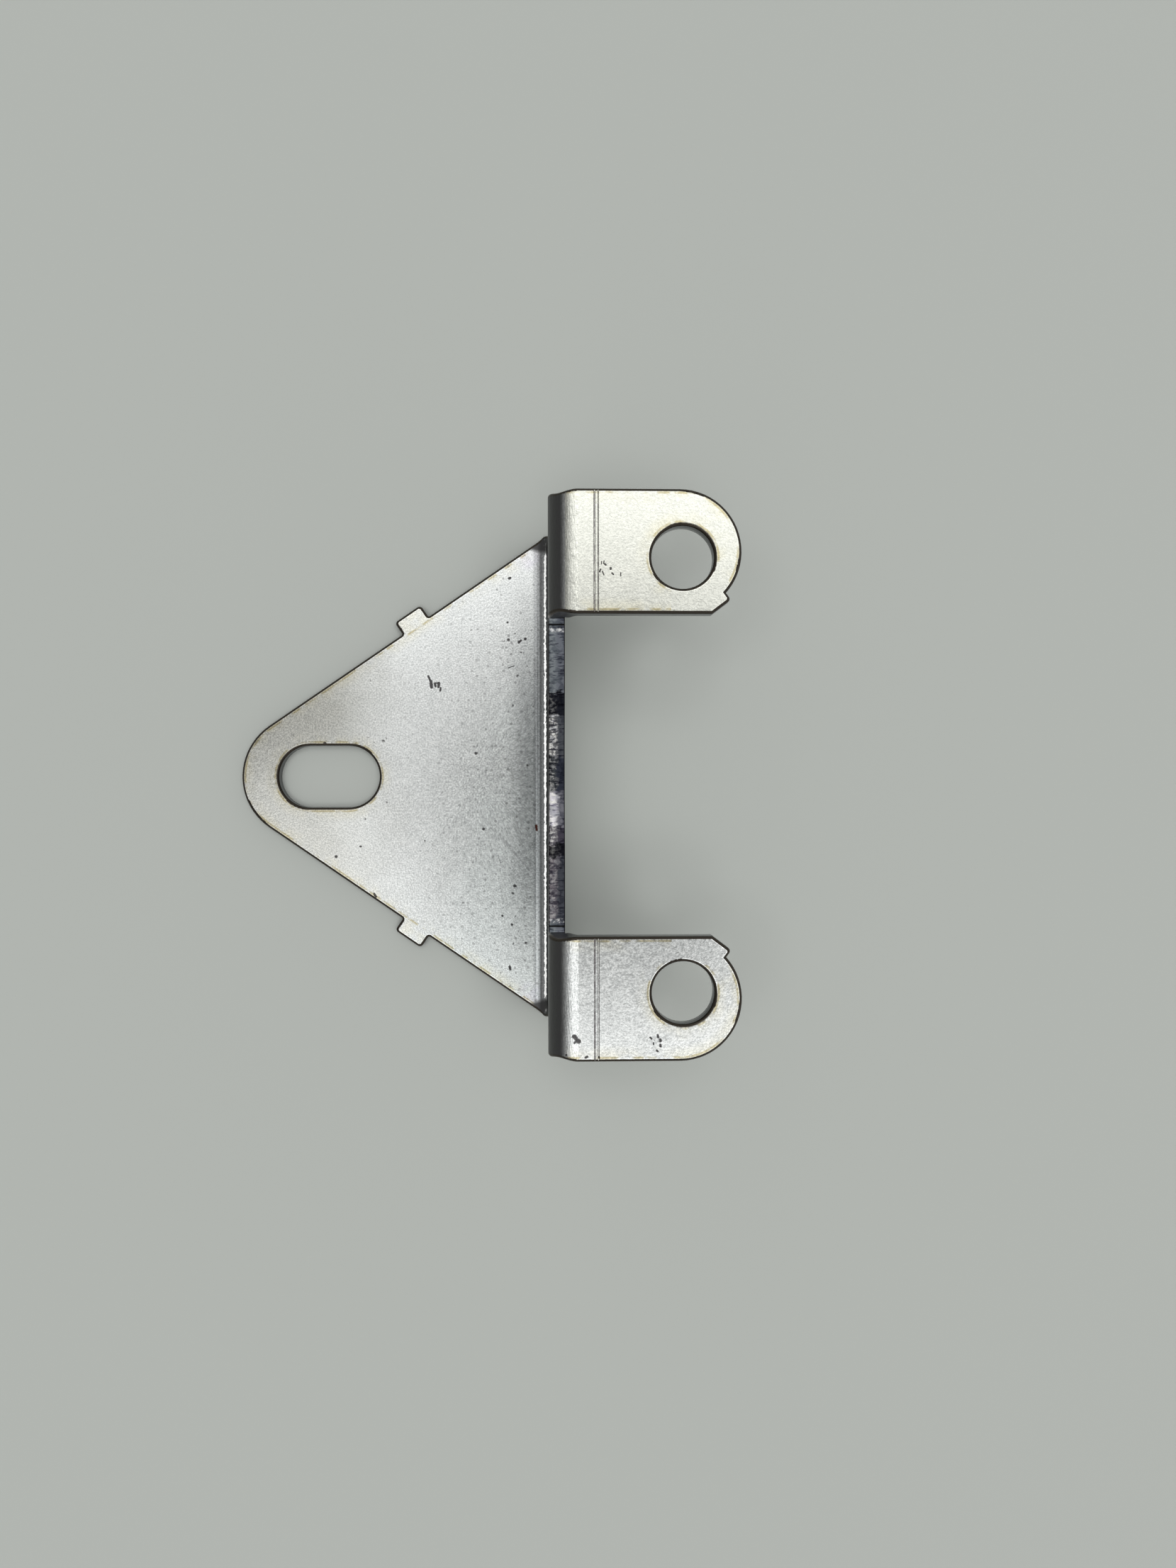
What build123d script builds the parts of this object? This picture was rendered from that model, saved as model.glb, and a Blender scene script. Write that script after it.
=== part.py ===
from build123d import *
from typing import NamedTuple
import math
import os

# Stamped and folded steel bracket: one sheet, two folds. A tapering plate lies flat, a web
# stands up from its wide end, and two ears fold away from the top of the web.
# Millimetres, +Z up, plate on the ground, the two halves mirror each other across Y = 0.

# Overall sizes
SHEET = 2.0
HEIGHT = 30.0
WEB_WIDTH = 65.7
PLATE_REACH = 42.0
EAR_REACH = 22.3

# Folds, by the radius on the hollow side of each. At its ends the sheet draws in on the
# outside of the bend and bulges on the hollow side.
LOWER_FOLD = 1.8
LOWER_DRAW = 0.2
LOWER_BULGE = 0.35
UPPER_FOLD = 1.5
UPPER_DRAW = 0.4
UPPER_BULGE = 0.15

# Tapering plate
TIP_RADIUS = 8.5
TAPER_TOP_FROM_WEB = 0.75
FLARE_FROM_WEB = 1.5
FLARE_RADIUS = 7.0
WIDE_ROUND = 0.4
TAB_FROM_WEB = 18.3
TAB_LENGTH = 4.3
TAB_PROUD = 1.95
TAB_OUTER_ROUND = 0.5
TAB_INNER_ROUND = 0.22

# Bolt slot in the plate
SLOT_WIDTH = 8.5
SLOT_CENTRES = 5.2
SLOT_FROM_WEB = 30.1

# Ears and their bolt holes
EAR_WIDTH = 14.35
END_RADIUS = 7.15
HOLE_DIAMETER = 7.2
HOLE_FROM_WEB = 15.5
HOLE_FROM_SIDE = 7.85

# Corner left by the cropping punch on the inner side of each ear
CROP_START = 3.75
CROP_ANGLE = 37.0
NUB_RUN = 2.75
NUB_ROUND = 0.45
NOTCH_FROM_END = 1.8
NOTCH_DEPTH = 0.05

# Cut in the top edge of the web, between the ears
SHOULDER_BELOW_FOLD = 1.2
CORNER_ROUND = 0.95
DIP_HALF_LENGTH = 9.75
DIP_DEPTH = 3.2
DIP_CORNER_ROUND = 0.25

# Soft edge drawn down by the punch on the upper side of the sheet
DRAWN_EDGE = 0.4

# Pair of witness lines that the folding die leaves across each ear
WITNESS_FROM_WEB = 5.35
WITNESS_SPACING = 0.42
WITNESS_WIDTH = 0.2
WITNESS_DEPTH = 0.04

# Derived positions. WEB_X is the web's face on the plate's side. OVER is how far cutters
# run past the sheet, and ALONG the least cosine for an edge to count as along an axis.
WEB_X = PLATE_REACH - (PLATE_REACH + EAR_REACH) / 2
TIP_X = WEB_X - PLATE_REACH + TIP_RADIUS
FOLD_X = WEB_X - LOWER_FOLD
WIDE_X = WEB_X - TAPER_TOP_FROM_WEB
FLARE_X = WEB_X - FLARE_FROM_WEB
LOWER_OUTER = LOWER_FOLD + SHEET
UPPER_OUTER = UPPER_FOLD + SHEET
HALF = WEB_WIDTH / 2
EAR_INNER = HALF - EAR_WIDTH
EAR_MIDDLE = HALF - EAR_WIDTH / 2
END_X = WEB_X + EAR_REACH - END_RADIUS
END_Y = HALF - END_RADIUS
SHOULDER = HEIGHT - UPPER_OUTER - SHOULDER_BELOW_FOLD
OVER = 1.0
ALONG = 0.95


class Fold(NamedTuple):
    """A bend: its axis, hollow radius, first angle, and how far its ends move."""

    x: float
    z: float
    hollow: float
    start: float
    draw: float
    bulge: float


LOWER = Fold(FOLD_X, LOWER_OUTER, LOWER_FOLD, -90, LOWER_DRAW, LOWER_BULGE)
UPPER = Fold(
    WEB_X + UPPER_OUTER, HEIGHT - UPPER_OUTER, UPPER_FOLD, 90, UPPER_DRAW, UPPER_BULGE
)


def folded_strip():
    """The whole sheet as folded, at full width, before anything is cut from it."""
    foot = HEIGHT - UPPER_OUTER
    start = (WEB_X - PLATE_REACH, 0)
    turn = math.sqrt(0.5)
    low_mid = (FOLD_X + LOWER_OUTER * turn, LOWER_OUTER * (1 - turn))
    low_in_mid = (FOLD_X + LOWER_FOLD * turn, SHEET + LOWER_FOLD * (1 - turn))
    top_x = WEB_X + UPPER_OUTER
    top_mid = (top_x - UPPER_OUTER * turn, foot + UPPER_OUTER * turn)
    top_in_mid = (top_x - UPPER_FOLD * turn, foot + UPPER_FOLD * turn)
    end = WEB_X + EAR_REACH + OVER
    outside = [
        Line(start, (FOLD_X, 0)),
        ThreePointArc((FOLD_X, 0), low_mid, (WEB_X + SHEET, LOWER_OUTER)),
        Line((WEB_X + SHEET, LOWER_OUTER), (WEB_X + SHEET, foot)),
        ThreePointArc((WEB_X + SHEET, foot), top_in_mid, (top_x, HEIGHT - SHEET)),
        Line((top_x, HEIGHT - SHEET), (end, HEIGHT - SHEET)),
    ]
    back = [
        Line((end, HEIGHT - SHEET), (end, HEIGHT)),
        Line((end, HEIGHT), (top_x, HEIGHT)),
        ThreePointArc((top_x, HEIGHT), top_mid, (WEB_X, foot)),
        Line((WEB_X, foot), (WEB_X, LOWER_OUTER)),
        ThreePointArc((WEB_X, LOWER_OUTER), low_in_mid, (FOLD_X, SHEET)),
        Line((FOLD_X, SHEET), (WEB_X - PLATE_REACH, SHEET)),
        Line((WEB_X - PLATE_REACH, SHEET), start),
    ]
    profile = make_face(Wire(outside + back))
    upright = Plane.XZ * profile
    return extrude(upright, amount=HALF + OVER, both=True)


def side_place(fold, turn, share):
    """A place on the side of a bend, and how far the side stands out there."""
    radius = fold.hollow + share * SHEET
    angle = math.radians(fold.start + turn)
    swell = math.sin(math.radians(2 * turn)) ** 2
    out = swell * (fold.bulge - share * (fold.bulge + fold.draw))
    return fold.x + radius * math.cos(angle), fold.z + radius * math.sin(angle), out


def fold_side(fold, edge, away):
    """What lies beyond the sheet's side along a bend; away is +1 or -1 along Y."""
    rows = []
    for turn in range(0, 91, 15):
        row = []
        for share in (-0.2, 0.5, 1.2):
            x, z, out = side_place(fold, turn, share)
            row.append(Vector(x, edge + away * out, z))
        rows.append(row)
    side = Face.make_surface_from_array_of_points(rows)
    return extrude(side, amount=2 * OVER, dir=(0, away, 0))


def beyond_sides(side):
    """What is trimmed off one side of the web and off the ends of both folds."""
    tall = HEIGHT - UPPER_OUTER - LOWER_OUTER
    middle = (WEB_X + SHEET / 2, side * (HALF + OVER), LOWER_OUTER + tall / 2)
    web = Pos(*middle) * Box(SHEET + 2 * OVER, 2 * OVER, tall)
    return web + fold_side(LOWER, side * HALF, side) + fold_side(UPPER, side * HALF, side)


def taper_angle():
    """Angle of each tapering side: from full width at the fold, tangent to the round tip."""
    run = WIDE_X - TIP_X
    span = math.hypot(run, HALF)
    return math.atan2(HALF, run) - math.asin(TIP_RADIUS / span)


def flare_end():
    """Where the cut, swinging out as the side climbs the fold, has left the sheet."""
    angle = taper_angle()
    reach = HALF + LOWER_BULGE + OVER / 5
    drop = FLARE_RADIUS * math.cos(angle) - reach + taper_y(FLARE_X)
    run = math.sqrt(FLARE_RADIUS**2 - drop**2) - FLARE_RADIUS * math.sin(angle)
    return (FLARE_X + run, reach)


def taper_y(x):
    """Half width of the flat plate at a place along its taper."""
    return HALF - (WIDE_X - x) * math.tan(taper_angle())


def tab(side):
    """Locating tab that stands out square from a tapering side."""
    x = WEB_X - TAB_FROM_WEB
    lean = math.degrees(taper_angle()) * side
    place = Pos(x, side * taper_y(x)) * Rot(0, 0, lean)
    shape = Rectangle(TAB_LENGTH, 2 * TAB_PROUD)
    return place * shape


def plate_outline():
    """Plan of the flat plate: round tip, two straight tapers, two tabs."""
    angle = taper_angle()
    touch = (TIP_X - TIP_RADIUS * math.sin(angle), TIP_RADIUS * math.cos(angle))
    flare = (FLARE_X, taper_y(FLARE_X))
    wide = flare_end()
    heading = (math.cos(angle), math.sin(angle))
    upper = [Line(touch, flare), TangentArc(flare, wide, tangent=heading)]
    lower = [mirror(line, about=Plane.XZ).edge() for line in upper]
    tip = ThreePointArc((touch[0], -touch[1]), (TIP_X - TIP_RADIUS, 0), touch)
    back = Line(wide, (wide[0], -wide[1]))
    edge = Wire([tip, back] + upper + lower)
    outline = make_face(edge) + tab(1) + tab(-1)
    outer = outline.vertices().filter_by(is_tab_tip)
    outline = fillet(outer, TAB_OUTER_ROUND)
    inner = outline.vertices().filter_by(is_tab_root)
    return fillet(inner, TAB_INNER_ROUND)


def proud_of_taper(v):
    """How far a corner of the outline stands outside the tapering side."""
    return (abs(v.Y) - taper_y(v.X)) * math.cos(taper_angle())


def is_tab_tip(v):
    """A tab's free corners."""
    return proud_of_taper(v) > TAB_PROUD / 2


def is_tab_root(v):
    """The corners where a tab meets the tapering side."""
    near = abs(v.X - WEB_X + TAB_FROM_WEB) < TAB_LENGTH
    return near and abs(proud_of_taper(v)) < DRAWN_EDGE


def beyond_plate():
    """What the blanking tools take away round the plate, running on into the fold."""
    length = 2 * PLATE_REACH
    block = Pos(flare_end()[0] - length / 2, 0) * Rectangle(length, WEB_WIDTH + 4 * OVER)
    waste = block - plate_outline()
    return extrude(Pos(0, 0, -OVER) * waste, amount=LOWER_OUTER + OVER)


def slot():
    """Bolt slot that runs along the plate."""
    length = SLOT_CENTRES + SLOT_WIDTH
    shape = Pos(WEB_X - SLOT_FROM_WEB, 0, -OVER) * SlotOverall(length, SLOT_WIDTH)
    return extrude(shape, amount=SHEET + 2 * OVER)


def ear_plan(side):
    """Plan of an ear: straight sides, round end, cropped corner with its nub."""
    root = WEB_X - OVER
    length = END_X - root
    straight = Pos(root + length / 2, side * EAR_MIDDLE) * Rectangle(length, EAR_WIDTH)
    end = Pos(END_X, side * END_Y) * Circle(END_RADIUS)
    return straight + end + nub(side)


def nub(side):
    """Point left outside the round end, where the cropping cut runs past it."""
    lean = math.radians(CROP_ANGLE)
    start = (END_X + CROP_START, EAR_INNER)
    peak = (start[0] + NUB_RUN * math.cos(lean), start[1] + NUB_RUN * math.sin(lean))
    notch_x = END_X + END_RADIUS - NOTCH_FROM_END
    rise = math.sqrt(END_RADIUS**2 - (notch_x - END_X) ** 2)
    notch = (notch_x - NOTCH_DEPTH, END_Y - rise + NOTCH_DEPTH)
    back = (END_X, END_Y)
    low = (END_X, EAR_INNER)
    points = [low, start, peak, notch, back]
    shape = make_face(Polyline([(x, side * y) for x, y in points], close=True))
    tip = shape.vertices().sort_by(Axis.X)[-1]
    return fillet(tip, NUB_ROUND)


def beyond_ears():
    """What the cropping tools take away round both ears."""
    length = EAR_REACH + OVER - UPPER_OUTER
    start = WEB_X + UPPER_OUTER
    block = Pos(start + length / 2, 0) * Rectangle(length, WEB_WIDTH + 4 * OVER)
    ears = ear_plan(1) + ear_plan(-1)
    waste = block - ears
    return extrude(Pos(0, 0, HEIGHT - SHEET - OVER) * waste, amount=SHEET + 2 * OVER)


def web_cut():
    """Gap between the ears, down to the shoulders and the shallow dip in the web."""
    top = HEIGHT + OVER
    lines = Polyline(
        [
            (-DIP_HALF_LENGTH, SHOULDER),
            (-EAR_INNER, SHOULDER),
            (-EAR_INNER, top),
            (EAR_INNER, top),
            (EAR_INNER, SHOULDER),
            (DIP_HALF_LENGTH, SHOULDER),
        ]
    )
    dip = ThreePointArc(
        (DIP_HALF_LENGTH, SHOULDER), (0, SHOULDER - DIP_DEPTH), (-DIP_HALF_LENGTH, SHOULDER)
    )
    shape = make_face(lines.edges() + [dip])
    roots = shape.vertices().filter_by(is_shoulder_end)
    shape = fillet(roots, CORNER_ROUND)
    lips = shape.vertices().filter_by(is_dip_end)
    shape = fillet(lips, DIP_CORNER_ROUND)
    upright = Plane.YZ * shape
    gap = extrude(Pos(WEB_X - OVER, 0, 0) * upright, amount=EAR_REACH + 2 * OVER)
    return gap - beside_gap(1) - beside_gap(-1) + gap_side(1) + gap_side(-1)


def gap_side(side):
    """What lies beyond an ear's inner side along the upper fold."""
    return fold_side(UPPER, side * EAR_INNER, -side)


def beside_gap(side):
    """Room left beside the gap for the side of the upper fold to bulge into."""
    middle = (WEB_X + UPPER_OUTER / 2, side * EAR_INNER, HEIGHT - UPPER_OUTER / 2)
    return Pos(*middle) * Box(UPPER_OUTER, 2 * OVER, UPPER_OUTER)


def is_shoulder_end(v):
    """Where a shoulder meets an ear's inner side."""
    return abs(v.Y - SHOULDER) < DRAWN_EDGE and abs(abs(v.X) - EAR_INNER) < DRAWN_EDGE


def is_dip_end(v):
    """Where a shoulder breaks into the dip."""
    return abs(v.Y - SHOULDER) < DRAWN_EDGE and abs(abs(v.X) - DIP_HALF_LENGTH) < DRAWN_EDGE


def ear_hole(side):
    """Bolt hole through an ear."""
    across = side * (HALF - HOLE_FROM_SIDE)
    place = Pos(WEB_X + HOLE_FROM_WEB, across, HEIGHT - SHEET / 2)
    return place * Cylinder(HOLE_DIAMETER / 2, SHEET + 2 * OVER)


def cut_sheet():
    """The folded sheet with every hole and edge cut, all edges still sharp."""
    sheet = folded_strip()
    sheet = sheet - beyond_sides(1) - beyond_sides(-1)
    sheet = sheet - beyond_plate()
    corners = sheet.edges().filter_by(is_wide_corner)
    sheet = sheet.fillet(WIDE_ROUND, corners)
    sheet = sheet - beyond_ears() - web_cut()
    sheet = sheet - slot()
    return sheet - ear_hole(1) - ear_hole(-1)


def is_wide_corner(edge):
    """Where a tapering side turns into the web's upright side, inside the fold."""
    middle = edge @ 0.5
    upright = abs((edge % 0.5).Z) > ALONG
    near = FLARE_X < middle.X < flare_end()[0]
    return upright and near and abs(middle.Y) > HALF - LOWER_DRAW


def upper_side_edges(sheet):
    """Edges of the side the punch came from: plate top, fold, web face and ear tops."""
    chosen = []
    for edge in sheet.edges():
        if is_upper_edge(edge):
            chosen.append(edge)
    return chosen


def is_upper_edge(edge):
    """True where an edge lies on the punch side and borders a cut face."""
    ends = [edge @ share for share in (0.1, 0.5, 0.9)]
    if not all(on_upper_side(point) for point in ends):
        return False
    across = abs((edge % 0.5).Y) > ALONG and edge.length > SLOT_WIDTH
    at_fold = abs(ends[1].X - FOLD_X) < DRAWN_EDGE or abs(ends[1].X - WEB_X) < DRAWN_EDGE
    fold_end = abs(ends[1].X - WEB_X - UPPER_OUTER) < DRAWN_EDGE
    cut_top = ends[1].Z > SHOULDER - DIP_DEPTH - DRAWN_EDGE and abs(ends[1].Y) < EAR_INNER
    return cut_top or not (across and (at_fold or fold_end))


def on_upper_side(point):
    """True for a place on the punch side of the folded sheet."""
    tiny = DRAWN_EDGE / 100
    if point.X < FOLD_X + tiny:
        return abs(point.Z - SHEET) < tiny
    if point.X > WEB_X + UPPER_OUTER - tiny:
        return abs(point.Z - HEIGHT) < tiny
    low = math.hypot(point.X - FOLD_X, point.Z - LOWER_OUTER)
    if point.Z < LOWER_OUTER + tiny and abs(low - LOWER_FOLD) < tiny:
        return True
    high = math.hypot(point.X - WEB_X - UPPER_OUTER, point.Z - HEIGHT + UPPER_OUTER)
    if point.Z > HEIGHT - UPPER_OUTER - tiny and abs(high - UPPER_OUTER) < tiny:
        return True
    return abs(point.X - WEB_X) < tiny


def witness_lines(side):
    """Two fine grooves side by side across an ear."""
    half = WITNESS_WIDTH / 2
    radius = (half**2 + WITNESS_DEPTH**2) / (2 * WITNESS_DEPTH)
    centre_z = HEIGHT - WITNESS_DEPTH + radius
    first = Rot(90, 0, 0) * Cylinder(radius, EAR_WIDTH + OVER)
    x = WEB_X + WITNESS_FROM_WEB
    y = side * EAR_MIDDLE
    return Pos(x, y, centre_z) * first + Pos(x + WITNESS_SPACING, y, centre_z) * first


def bracket():
    """The finished bracket."""
    sheet = cut_sheet()
    sheet = sheet.fillet(DRAWN_EDGE, upper_side_edges(sheet))
    return sheet - witness_lines(1) - witness_lines(-1)


os.makedirs("parts", exist_ok=True)
part = bracket()
export_step(part.solid(), "parts/bracket.step")
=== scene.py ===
"""Looks of a zinc-plated bracket that was stamped and folded from one steel sheet.

Sizes and places are in millimetres in the part's own frame, and angles in degrees, until
Blender takes them. The plate runs along X from its tip, at low X, to the upright web. The
ears go on from the web's top, and Y = 0 is midway between them.
"""

import math
from typing import NamedTuple

import bpy
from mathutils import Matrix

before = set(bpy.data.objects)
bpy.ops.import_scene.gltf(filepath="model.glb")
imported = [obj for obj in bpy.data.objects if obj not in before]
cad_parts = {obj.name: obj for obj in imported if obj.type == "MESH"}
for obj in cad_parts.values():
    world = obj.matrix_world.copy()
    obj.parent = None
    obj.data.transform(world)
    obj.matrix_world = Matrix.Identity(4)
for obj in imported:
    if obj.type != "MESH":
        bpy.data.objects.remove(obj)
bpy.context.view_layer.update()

MM = 0.001
DEGREES = 180.0 / math.pi

# The sheet and its two folds.
SHEET = 2.0
HEIGHT = 30.0
WEB_WIDTH = 65.7
PLATE_REACH = 42.0
EAR_REACH = 22.3
LOWER_HOLLOW = 1.8
UPPER_HOLLOW = 1.5

# The tapering plate and its slot.
TAPER_TOP_FROM_WEB = 0.75
TIP_RADIUS = 8.5
SLOT_FROM_WEB = 30.1
SLOT_CENTRES = 5.2
SLOT_WIDTH = 8.5

# An ear, its hole and its cropped inner corner, and the dip in the web between the ears.
EAR_WIDTH = 14.35
END_RADIUS = 7.15
HOLE_FROM_WEB = 15.5
HOLE_FROM_SIDE = 7.85
HOLE_RADIUS = 3.6
CROP_X = 24.0
CROP_Y = 21.8
DIP_FLOOR = 22.1

# Where these put the faces, folds and outlines. X = 0 is midway from the tip to the ears' ends.
WEB_X = (PLATE_REACH - EAR_REACH) / 2
FOLD_X = WEB_X - LOWER_HOLLOW
LOWER_OUTER = LOWER_HOLLOW + SHEET
UPPER_OUTER = UPPER_HOLLOW + SHEET
UPPER_X = WEB_X + UPPER_OUTER
UPPER_Z = HEIGHT - UPPER_OUTER
HALF = WEB_WIDTH / 2
WIDE_X = WEB_X - TAPER_TOP_FROM_WEB
TIP_X = WEB_X - PLATE_REACH + TIP_RADIUS
SLOT_X = WEB_X - SLOT_FROM_WEB
GAP_HALF = HALF - EAR_WIDTH
END_X = WEB_X + EAR_REACH - END_RADIUS
END_Y = HALF - END_RADIUS
HOLE_X = WEB_X + HOLE_FROM_WEB
HOLE_Y = HALF - HOLE_FROM_SIDE


# ---------------------------------------------------------------- numbers in a node tree


# A Mix node's two inputs and its output, which are told apart only by their places.
MIX_SOCKETS = {"FLOAT": (2, 3, 0), "VECTOR": (4, 5, 1), "RGBA": (6, 7, 2)}


class Num:
    """A number in a node tree, so that a pattern's formula reads as a formula."""

    def __init__(self, tree, socket):
        self.tree = tree
        self.socket = socket

    def apply(self, operation, *others):
        """This number put through a Math node, with the others as its further inputs."""
        node = self.tree.nodes.new("ShaderNodeMath")
        node.operation = operation
        for slot, value in zip(node.inputs, (self, *others)):
            feed(self.tree, slot, value)
        return Num(self.tree, node.outputs[0])

    def __add__(self, other):
        return self.apply("ADD", other)

    def __sub__(self, other):
        return self.apply("SUBTRACT", other)

    def __mul__(self, other):
        return self.apply("MULTIPLY", other)

    def __truediv__(self, other):
        return self.apply("DIVIDE", other)

    def __neg__(self):
        return self * -1.0

    def __abs__(self):
        return self.apply("ABSOLUTE")

    def flip(self):
        """1 minus this number."""
        return (-self) + 1.0

    def length(self, other):
        """Distance from the origin to the place at this number and another."""
        return (self * self + other * other).apply("SQRT")

    def below(self, other):
        return self.apply("LESS_THAN", other)

    def above(self, other):
        return self.apply("GREATER_THAN", other)

    def least(self, other):
        return self.apply("MINIMUM", other)

    def most(self, other):
        return self.apply("MAXIMUM", other)

    def swing(self, size):
        """This noise, which lies around a half, as a swing of about this size around 0."""
        return (self - 0.5) * size

    def pick(self, yes, no):
        """yes where this mask is 1, no where it is 0."""
        return Num(self.tree, mixed(self.tree, "FLOAT", self, no, yes))

    def ramp(self, start, end, low=0.0, high=1.0):
        """Smooth step from low to high as this number goes from start to end."""
        if start > end:
            start, end, low, high = end, start, high, low
        node = self.tree.nodes.new("ShaderNodeMapRange")
        node.interpolation_type = "SMOOTHSTEP"
        feed(self.tree, node.inputs["Value"], self)
        ends = {"From Min": start, "From Max": end, "To Min": low, "To Max": high}
        for name, value in ends.items():
            feed(self.tree, node.inputs[name], value)
        return Num(self.tree, node.outputs["Result"])

    def band(self, start, end, soft):
        """1 between start and end, fading to 0 over a soft edge outside each."""
        return self.ramp(start - soft, start) * self.ramp(end + soft, end)


def feed(tree, slot, value):
    """Puts a Num, another socket, a plain number or a colour into a node's input."""
    if isinstance(value, Num):
        tree.links.new(value.socket, slot)
    elif isinstance(value, bpy.types.NodeSocket):
        tree.links.new(value, slot)
    elif slot.type == "RGBA":
        slot.default_value = (*value, 1.0)
    else:
        slot.default_value = value


def mixed(tree, kind, mask, first, second, blend="MIX"):
    """first where the mask is 0, second where it is 1, or what the blend makes of both."""
    node = tree.nodes.new("ShaderNodeMix")
    node.data_type = kind
    node.blend_type = blend
    low, high, out = MIX_SOCKETS[kind]
    feed(tree, node.inputs["Factor"], mask)
    feed(tree, node.inputs[low], first)
    feed(tree, node.inputs[high], second)
    return node.outputs[out]


class Place:
    """Where a shaded point is on the object, and which way the surface faces there."""

    def __init__(self, tree):
        self.tree = tree
        source = tree.nodes.new("ShaderNodeTexCoord")
        scale = tree.nodes.new("ShaderNodeVectorMath")
        scale.operation = "SCALE"
        scale.inputs["Scale"].default_value = 1.0 / MM
        tree.links.new(source.outputs["Object"], scale.inputs[0])
        self.point = scale.outputs[0]
        self.x, self.y, self.z = split(tree, self.point)
        self.nx, self.ny, self.nz = split(tree, source.outputs["Normal"])
        self.wide = abs(self.y)

    def join(self, x, y, z):
        node = self.tree.nodes.new("ShaderNodeCombineXYZ")
        for slot, value in zip(node.inputs, (x, y, z)):
            feed(self.tree, slot, value)
        return node.outputs[0]

    def number(self, value):
        node = self.tree.nodes.new("ShaderNodeValue")
        node.outputs[0].default_value = value
        return Num(self.tree, node.outputs[0])

    def stretched(self, along_x, along_y, along_z):
        """The place with each axis scaled, to draw a pattern out along a direction."""
        return self.join(self.x * along_x, self.y * along_y, self.z * along_z)

    def noise(self, size, detail=2.0, rough=0.5, vector=None):
        """Smooth noise with blobs of about this size, 0 to 1 around a half."""
        node = self.tree.nodes.new("ShaderNodeTexNoise")
        feed(self.tree, node.inputs["Vector"], vector or self.point)
        node.inputs["Scale"].default_value = 1.0 / size
        node.inputs["Detail"].default_value = detail
        node.inputs["Roughness"].default_value = rough
        return Num(self.tree, node.outputs["Fac"])

    def stripes(self, across, along):
        """Noise drawn out along the web, with its size across and along the stripes."""
        return self.noise(1.0, vector=self.stretched(1.0 / across, 1.0 / along, 1.0 / across))

    def cells(self, size, out="Distance"):
        """Distance in X and Y to the nearest of scattered points, or that point's colour."""
        node = self.tree.nodes.new("ShaderNodeTexVoronoi")
        node.voronoi_dimensions = "2D"
        feed(self.tree, node.inputs["Vector"], self.point)
        node.inputs["Scale"].default_value = 1.0 / size
        return Num(self.tree, node.outputs[out])


def split(tree, vector):
    node = tree.nodes.new("ShaderNodeSeparateXYZ")
    tree.links.new(vector, node.inputs[0])
    return [Num(tree, out) for out in node.outputs]


# ---------------------------------------------------------------- places on the sheet


# How far up a surface faces at least, on the top of the plate or an ear, on the start of the
# lower fold and on the web's cut top edge, as a cosine.
TOP_FACING = 0.9
FOLD_START_FACING = 0.7
STRIP_FACING = 0.3

# How far a surface faces the punch side's way, as a cosine: on that side at least, and on a
# cut wall and on the other side at most. Likewise along X for the web's face.
PUNCH_SIDE_FACING = 0.5
WALL_FACING = 0.3
UNDER_FACING = -0.6
WEB_FACING = -0.5

# Slack round the web's cut top edge, so that the mask takes in all of it.
STRIP_SIDE_SLACK = 0.3
STRIP_FLOOR_SLACK = 0.5
STRIP_TOP_SLACK = 0.2

# Distance given for an ear's cropped corner, beyond every pattern that follows the edges.
BEYOND_EDGES = 9.0


class Folded:
    """The shaded point in the sheet's own terms, all along its two folds.

    depth is how far it lies below the side that the punch entered, and facing is 1 on that
    side, 0 on a cut wall and -1 on the other side. low_turn and high_turn say how far round
    each fold it is, as a sine: 0 on the flat sheet, 1 at the web. The rest are masks.
    """

    def __init__(self, at):
        low_x = at.x - FOLD_X
        low_z = at.z - LOWER_OUTER
        low_r = low_x.length(low_z)
        high_x = at.x - UPPER_X
        high_z = at.z - UPPER_Z
        high_r = high_x.length(high_z)
        in_low = at.x.above(FOLD_X) * at.z.below(LOWER_OUTER)
        in_ear = at.x.above(UPPER_X) * at.z.above(UPPER_Z)
        self.in_web = at.z.above(LOWER_OUTER) * at.z.below(UPPER_Z)
        self.in_high = at.x.below(UPPER_X) * at.z.above(UPPER_Z)

        depth = (-at.z) + SHEET
        depth = in_low.pick(low_r - LOWER_HOLLOW, depth)
        depth = self.in_web.pick(at.x - WEB_X, depth)
        depth = self.in_high.pick((-high_r) + UPPER_OUTER, depth)
        self.depth = in_ear.pick((-at.z) + HEIGHT, depth)

        low_face = (-(at.nx * low_x) - at.nz * low_z) / low_r
        high_face = (at.nx * high_x + at.nz * high_z) / high_r
        facing = in_low.pick(low_face, at.nz)
        facing = self.in_web.pick(-at.nx, facing)
        self.facing = self.in_high.pick(high_face, facing)
        self.low_turn = (low_x / low_r) * in_low
        self.high_turn = (-(high_x / high_r)) * self.in_high

        self.low_half = at.z.below(HEIGHT / 2)
        self.top = at.nz.above(TOP_FACING)
        self.on_plate = self.top * self.low_half
        self.on_ear = self.top * self.low_half.flip()

        # The web's cut top edge, between the ears.
        gap = at.wide.below(GAP_HALF + STRIP_SIDE_SLACK)
        gap = gap * at.z.above(DIP_FLOOR - STRIP_FLOOR_SLACK)
        gap = gap * at.z.below(UPPER_Z + STRIP_TOP_SLACK)
        self.strip = gap * at.nz.above(STRIP_FACING)


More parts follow.
